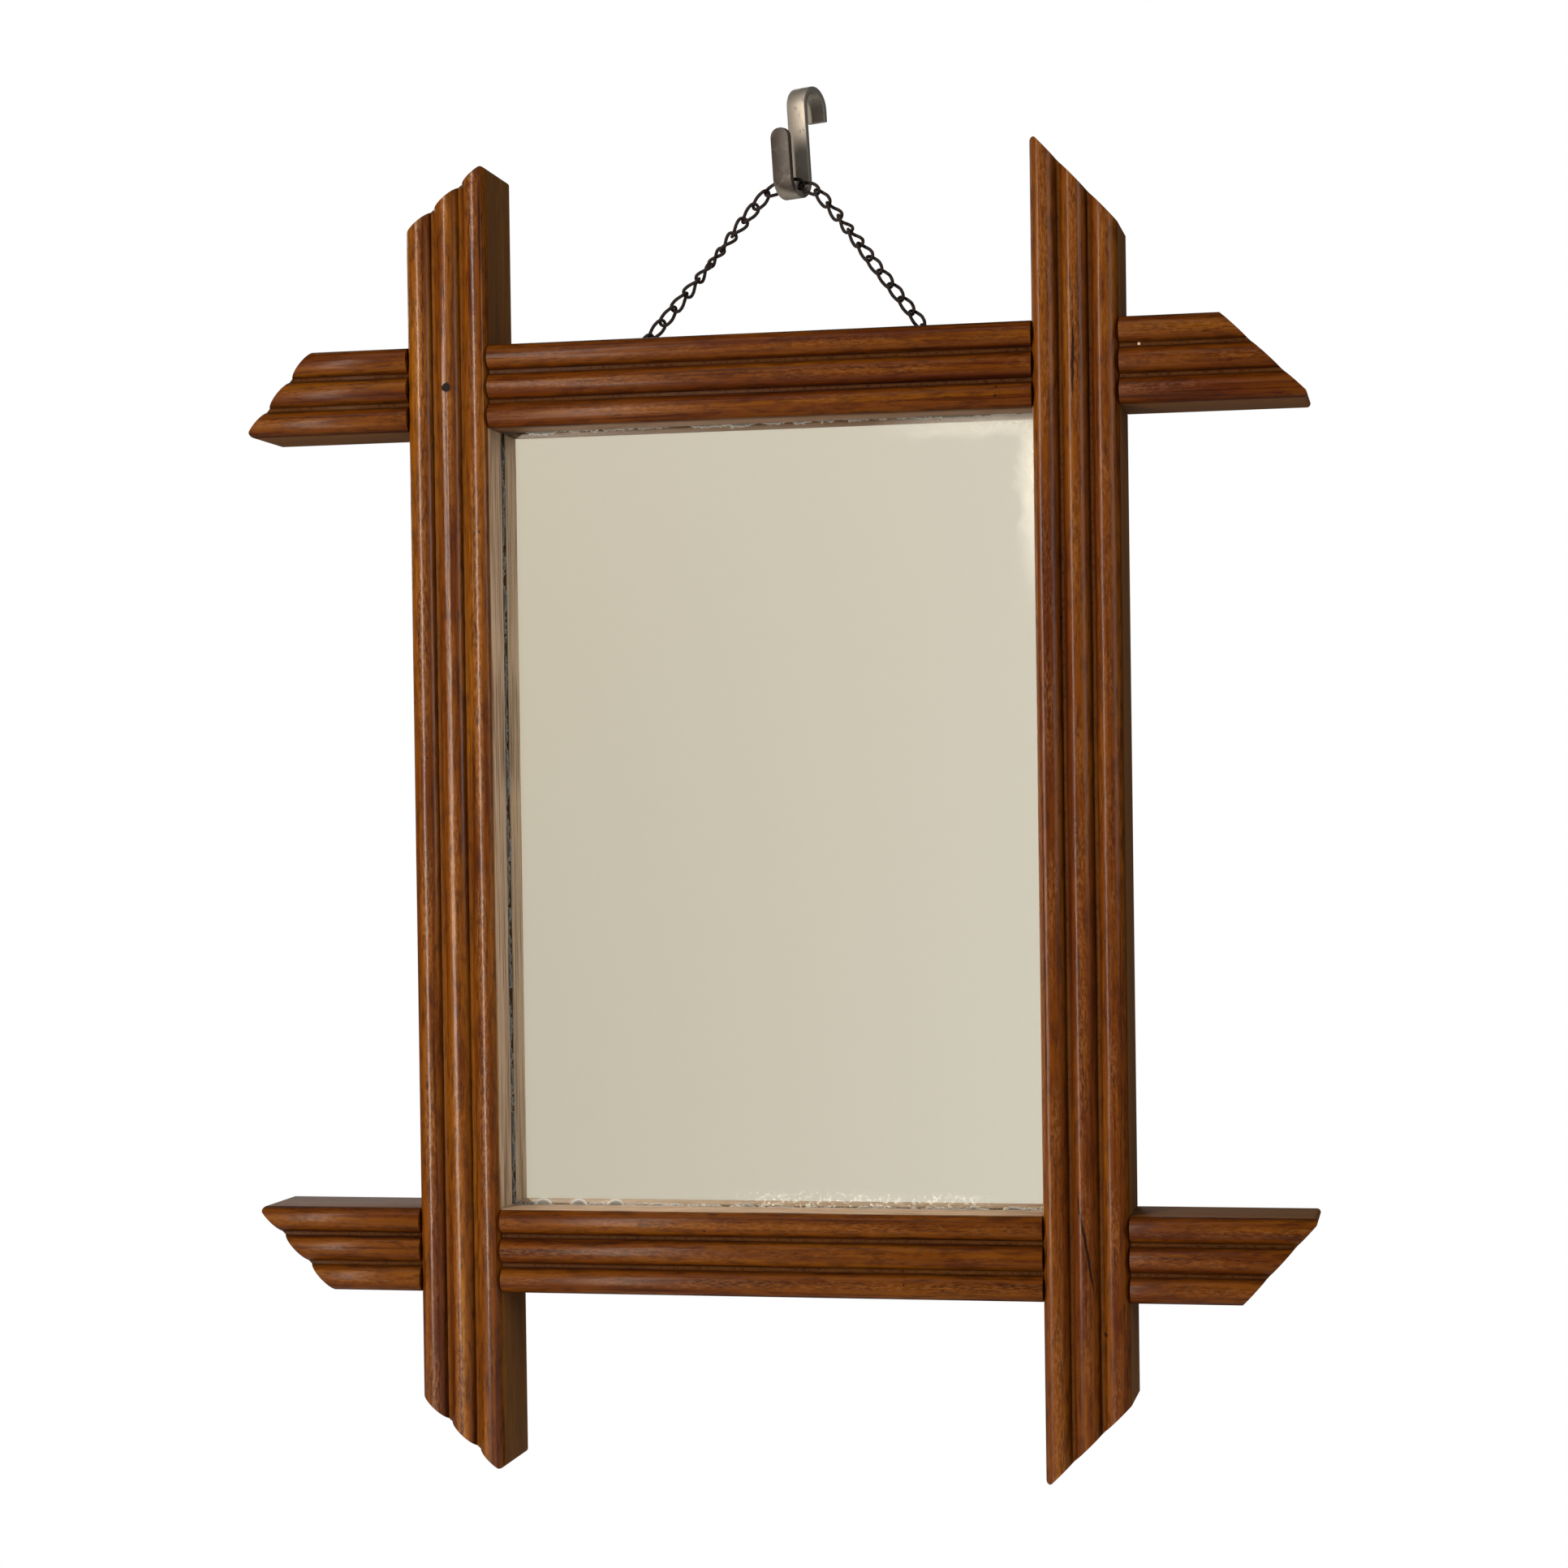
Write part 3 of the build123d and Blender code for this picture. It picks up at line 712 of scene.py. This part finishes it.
def curb_link_tree(material):
    """Links of round wire, bent to an oval and twisted, one on every point."""
    tree = GeometryTree("twisted curb links", {
        "Wire Radius": WIRE_RADIUS,
        "Inner Length": LINK_INNER_LENGTH,
        "Inner Width": LINK_INNER_WIDTH,
        "Twist": LINK_TWIST,
        "Round Steps": LINK_ROUND_STEPS,
        "Wire Steps": LINK_WIRE_STEPS,
        "Bend Steps": LINK_BEND_STEPS,
    })
    given = tree.given

    # The oval that the wire's middle follows; its bends are a hair under half its width, so they never meet
    wire_width = tree.times(given["Wire Radius"], 2.0)
    width = tree.plus(given["Inner Width"], wire_width)
    length = tree.plus(given["Inner Length"], wire_width)
    oval = tree.add("GeometryNodeCurvePrimitiveQuadrilateral", inputs={0: width, 1: length})
    rounded = tree.add("GeometryNodeFilletCurve", mode="POLY", inputs={
        "Curve": oval.outputs[0], "Radius": tree.times(width, 0.4999), "Count": given["Bend Steps"]})
    even = tree.add("GeometryNodeResampleCurve", inputs={
        "Curve": rounded.outputs[0], "Count": given["Round Steps"]})

    # The twist from end to end
    place = tree.split(tree.add("GeometryNodeInputPosition").outputs[0])
    run = tree.math("DIVIDE", place["Y"], tree.times(length, 0.5))
    turn = tree.math("SINE", tree.times(run, math.pi / 2))
    turn = tree.times(turn, tree.times(given["Twist"], 0.5))
    twisted = tree.add("ShaderNodeCombineXYZ", inputs={
        "X": tree.times(place["X"], tree.math("COSINE", turn)),
        "Y": tree.times(place["X"], tree.math("SINE", turn)),
        "Z": place["Y"]})
    bent = tree.add("GeometryNodeSetPosition", inputs={
        "Geometry": even.outputs[0], "Position": twisted.outputs[0]})
    wire = tree.add("GeometryNodeCurvePrimitiveCircle", inputs={
        "Resolution": given["Wire Steps"], "Radius": given["Wire Radius"]})
    link = tree.add("GeometryNodeCurveToMesh", inputs={
        "Curve": bent.outputs[0], "Profile Curve": wire.outputs[0]})

    # One link on every point, turned as the point says
    facing = tree.add("GeometryNodeInputNamedAttribute", data_type="FLOAT_VECTOR", inputs={"Name": "facing"})
    turned = tree.add("FunctionNodeEulerToRotation", inputs={0: facing.outputs[0]})
    many = tree.add("GeometryNodeInstanceOnPoints", inputs={
        "Points": given["Geometry"], "Instance": link.outputs[0], "Rotation": turned.outputs[0]})
    real = tree.add("GeometryNodeRealizeInstances", inputs={0: many.outputs[0]})
    smooth = tree.add("GeometryNodeSetShadeSmooth", inputs={0: real.outputs[0]})
    coated = tree.add("GeometryNodeSetMaterial", inputs={
        "Geometry": smooth.outputs[0], "Material": material})
    tree.join(coated.outputs[0], tree.out.inputs[0])
    return tree.tree


def turn_at(turns, number):
    """Turn of a link about its leg, in degrees; nought shows its flat face to the front."""
    for (start, low), (end, high) in zip(turns, turns[1:]):
        if start <= number <= end:
            return low + (high - low) * (number - start) / (end - start)


def link_facing(direction, turn):
    """Euler turn that lays a link's length along a direction."""
    back = Vector((0, math.cos(CHAIN_LEAN), -math.sin(CHAIN_LEAN)))
    across = direction.cross(back).normalized()
    level = Matrix((across, direction.cross(across), direction)).transposed()
    return (level @ Matrix.Rotation(math.radians(turn), 3, "Z")).to_euler()


def shoulder_direction(side):
    """The way that a leg's last link rises to the saddle, from the left (-1) or the right (1)."""
    up = Vector((0, math.sin(CHAIN_LEAN), math.cos(CHAIN_LEAN)))
    return Vector((-side * math.cos(SHOULDER_SLOPE), 0, 0)) + up * math.sin(SHOULDER_SLOPE)


def leg_places(word, side, turns):
    """Names of the links of one leg, and the middle and facing of each, from the screw eye up."""
    names = [f"{word}_link_{number:02d}" for number in range(1, LINKS_PER_LEG + 1)]
    middles = [middle_of(name) for name in names]
    up_leg = (middles[1] - middles[0]).normalized()
    places = []
    for number, middle in enumerate(middles, 1):
        direction = shoulder_direction(side) if number == LINKS_PER_LEG else up_leg
        places.append((middle, link_facing(direction, turn_at(turns, number))))
    return names, places


def chain_piece(name, places, material, body, stands_for):
    """A run of links from their middles and facings."""
    points = bpy.data.meshes.new(name + " points")
    points.from_pydata([place for place, _ in places], [], [])
    facing = points.attributes.new("facing", "FLOAT_VECTOR", "POINT")
    for item, (_, euler) in zip(facing.data, places):
        item.vector = euler
    carrier = bpy.data.objects.new(name + " points", points)
    bpy.context.scene.collection.objects.link(carrier)
    carrier.modifiers.new("links", "NODES").node_group = curb_link_tree(material)
    bpy.context.view_layer.update()
    grown = carrier.evaluated_get(bpy.context.evaluated_depsgraph_get())
    mesh = bpy.data.meshes.new_from_object(grown)
    mesh.name = name
    bpy.data.objects.remove(carrier)
    if "facing" in mesh.attributes:
        mesh.attributes.remove(mesh.attributes["facing"])
    return show_as(name, mesh, material, body, *stands_for)


# Mouldings: the place of each one's middle line, and how its wood looks, with how much painted shade, painted
# highlight and painted light each one gets
MOULDINGS = {
    "left_stile": {
        "upright": True, "middle": -STILE_PLACE, "seed": 1.3,
        "redness": 0.1, "depth_of_tone": 0.16, "grime_and_shade": 0.15, "shine": 0.42, "dust_and_light": 0.9},
    "right_stile": {
        "upright": True, "middle": STILE_PLACE, "seed": 4.1,
        "redness": 0.5, "depth_of_tone": 0.26, "grime_and_shade": 0.4, "shine": 0.22, "dust_and_light": 0.6},
    "top_rail": {
        "upright": False, "middle": RAIL_PLACE, "seed": 7.7,
        "redness": 0.4, "depth_of_tone": 0.40, "grime_and_shade": 0.6, "shine": 0.09, "dust_and_light": 0.1},
    "bottom_rail": {
        "upright": False, "middle": -RAIL_PLACE, "seed": 9.2,
        "redness": 0.3, "depth_of_tone": 0.40, "grime_and_shade": 0.6, "shine": 0.09, "dust_and_light": 0.85},
}

for name, looks in MOULDINGS.items():
    mesh = softened(name, EDGE_WEAR, SAWN_END_WEAR)
    piece = show_as(name + "_shown", mesh, wood_material(name, **looks), "framed_mirror", name)

# Plate and what lies behind it
glass = show_as("mirror_glass_shown", glass_plate(), glass_material(), "framed_mirror", "mirror_glass")
coat(nodes["silvering"].data, silver_material())
coat(nodes["backing_board"].data, board_material())

# Metal
wire_steel = steel_material(
    "dull drawn wire", tone=srgb(150, 142, 128), rust_tone=srgb(70, 42, 24), rough=0.38, rusty=0.12)
dark_iron = steel_material(
    "dark rusted iron", tone=srgb(34, 26, 20), rust_tone=srgb(22, 11, 6), rough=0.75, rusty=0.9)
chain_steel = steel_material(
    "browned chain wire", tone=srgb(44, 31, 25), rust_tone=srgb(28, 15, 10), rough=0.5, rusty=0.5)
hook_steel = steel_material(
    "bare flat bar", tone=srgb(150, 144, 135), rust_tone=srgb(60, 48, 38), rough=0.40, rusty=0.04,
    brush=(2200, 2200, 90))
# The hook's front strip gets tarnish and painted shade
tarnish_and_shade(hook_steel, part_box("hook")[0].y)
coat(nodes["crossing_nail"].data, dark_iron)
for name in ("glazing_brads", "left_screw_eye", "right_screw_eye"):
    coat(nodes[name].data, wire_steel)

left_names, left_places = leg_places("left", -1, LEFT_TURNS)
right_names, right_places = leg_places("right", 1, RIGHT_TURNS)
legs = chain_piece(
    "chain_legs_shown", left_places + right_places, chain_steel, "chain_legs", left_names + right_names)
saddle_place = (middle_of("saddle_link"), link_facing(Vector((1, 0, 0)), SADDLE_LINK_TURN))
saddle = chain_piece("saddle_link_shown", [saddle_place], chain_steel, "saddle", ["saddle_link"])
hook = show_as("hook_shown", softened("hook", EDGE_WEAR), hook_steel, "hook_body", "hook")


# Stage, in metres

WHITE = (1.0, 1.0, 1.0, 1.0)
FLOOR_LEVEL = -1.2
FLOOR_REACH = 3
WALL_PLACE = -2.6
WALL_LEFT, WALL_RIGHT = -4, 2.2
WALL_TOP = 2.4
ROOM_TONE = (0.26, 0.25, 0.235, 1.0)
ROOM_TONE_IN_METAL = (0.05, 0.047, 0.042, 1.0)


def card(name, corners, material):
    """Flat four-cornered sheet."""
    mesh = bpy.data.meshes.new(name)
    mesh.from_pydata(corners, [], [(0, 1, 2, 3)])
    mesh.materials.append(material)
    sheet = bpy.data.objects.new(name, mesh)
    bpy.context.scene.collection.objects.link(sheet)


def show_white_to_camera(tree, shader, output):
    """A surface that the camera itself sees as the background's white."""
    white = tree.add("ShaderNodeEmission", inputs={"Color": WHITE})
    swap_on_ray(tree, output, "Is Camera Ray", shader, white)


def floor_material():
    """Pale matt floor that the camera sees as the same white as the background."""
    made, tree, shader, output = new_material("pale floor")
    tree.fill(shader, {"Base Color": (0.8, 0.8, 0.8, 1.0), "Roughness": 0.9})
    show_white_to_camera(tree, shader, output)
    return made


def reflected_wall_material():
    """Pale wall that the mirror sees: lighter above and to the right, and dim to the rest of the object."""
    made, tree, _, output = new_material("reflected wall")
    x, _, z = tree.split(object_coordinates(tree))
    tone = tree.ramp(
        tree.smooth(z, -0.75, 0.75),
        (0.0, srgb(196, 188, 172)),
        (0.5, srgb(202, 192, 174)),
        (1.0, srgb(209, 199, 183)))
    tone = tree.mix(tree.smooth(x, -1.3, 0.1), tone, srgb(216, 209, 196))
    through_glass = tree.add("ShaderNodeLightPath").outputs["Transmission Depth"]
    strength = tree.smooth(through_glass, 0.0, 1.0, 0.3, 1.17)
    glow = tree.add("ShaderNodeEmission", inputs={"Color": tone, "Strength": strength})
    show_white_to_camera(tree, glow, output)
    return made


def studio_world():
    """Plain room light, which the camera and the glass see as white."""
    world = bpy.data.worlds.new("studio")
    bpy.context.scene.world = world
    world.use_nodes = True
    world.node_tree.nodes.clear()
    tree = Tree(world.node_tree)
    rays = tree.add("ShaderNodeLightPath").outputs
    direct = tree.math("MAXIMUM", rays["Is Camera Ray"], rays["Is Transmission Ray"])
    room = tree.mix(rays["Is Glossy Ray"], ROOM_TONE, ROOM_TONE_IN_METAL)
    background = tree.add("ShaderNodeBackground", inputs={"Color": tree.mix(direct, room, WHITE)})
    tree.add("ShaderNodeOutputWorld", inputs={"Surface": background.outputs[0]})


def soft_light(name, place, size, watts, tone=(1.0, 1.0, 1.0)):
    """Soft light of a given width and height, aimed at the middle of the mirror."""
    lamp = bpy.data.lights.new(name, "AREA")
    lamp.shape = "RECTANGLE"
    lamp.size, lamp.size_y = size
    lamp.energy = watts
    lamp.color = tone
    holder = bpy.data.objects.new(name, lamp)
    bpy.context.scene.collection.objects.link(holder)
    holder.location = CENTRE + Vector(place)
    holder.rotation_euler = (-Vector(place)).to_track_quat("-Z", "Y").to_euler()


card("floor", [
    (-FLOOR_REACH, FLOOR_REACH, FLOOR_LEVEL),
    (-FLOOR_REACH, -FLOOR_REACH, FLOOR_LEVEL),
    (FLOOR_REACH, -FLOOR_REACH, FLOOR_LEVEL),
    (FLOOR_REACH, FLOOR_REACH, FLOOR_LEVEL),
], floor_material())
card("reflected_wall", [
    (WALL_LEFT, WALL_PLACE, FLOOR_LEVEL),
    (WALL_LEFT, WALL_PLACE, WALL_TOP),
    (WALL_RIGHT, WALL_PLACE, WALL_TOP),
    (WALL_RIGHT, WALL_PLACE, FLOOR_LEVEL),
], reflected_wall_material())
studio_world()

# The key is a narrow strip, clear of what the mirror reflects to the camera
soft_light("key", (-0.98, -1.6, 0.15), (0.14, 2.2), 46, (1.0, 0.89, 0.78))
soft_light("fill_above", (-0.3, -1.0, 1.7), (1.4, 0.6), 7)
soft_light("fill_behind", (-0.9, 1.6, 0.8), (1.4, 1.2), 16)
soft_light("fill_right", (1.7, -0.9, 0.5), (0.8, 1.4), 12)


# Camera, at the photograph's viewing angle

PICTURE_WIDTH = 1932
SENSOR_WIDTH = 36.0
FOCAL_PIXELS = 3484.0
CAMERA_PLACE = (211.93, -864.50, -0.40)
CAMERA_PITCH = 0.01413
CAMERA_ROLL = -0.01093
CAMERA_YAW = -0.18086
PICTURE_SHIFT = (177.71, 79.73)
NEAREST_SEEN = 0.01


def place_camera():
    """Camera of the fitted view; turns are in radians, focal length and shift in the picture's pixels."""
    data = bpy.data.cameras.new("camera")
    camera = bpy.data.objects.new("camera", data)
    bpy.context.scene.collection.objects.link(camera)
    view = (
        Matrix.Rotation(CAMERA_YAW, 3, "Z")
        @ Matrix.Rotation(CAMERA_PITCH, 3, "X")
        @ Matrix.Rotation(CAMERA_ROLL, 3, "Y"))
    right, ahead, up = view
    facing = Matrix((right, up, -ahead)).transposed()
    camera.matrix_world = Matrix.Translation(at(*CAMERA_PLACE)) @ facing.to_4x4()
    data.sensor_width = SENSOR_WIDTH
    data.lens = SENSOR_WIDTH * FOCAL_PIXELS / PICTURE_WIDTH
    data.shift_x = -PICTURE_SHIFT[0] / PICTURE_WIDTH
    data.shift_y = PICTURE_SHIFT[1] / PICTURE_WIDTH
    data.clip_start = NEAREST_SEEN
    bpy.context.scene.camera = camera


place_camera()
bpy.context.scene.view_settings.view_transform = "Standard"
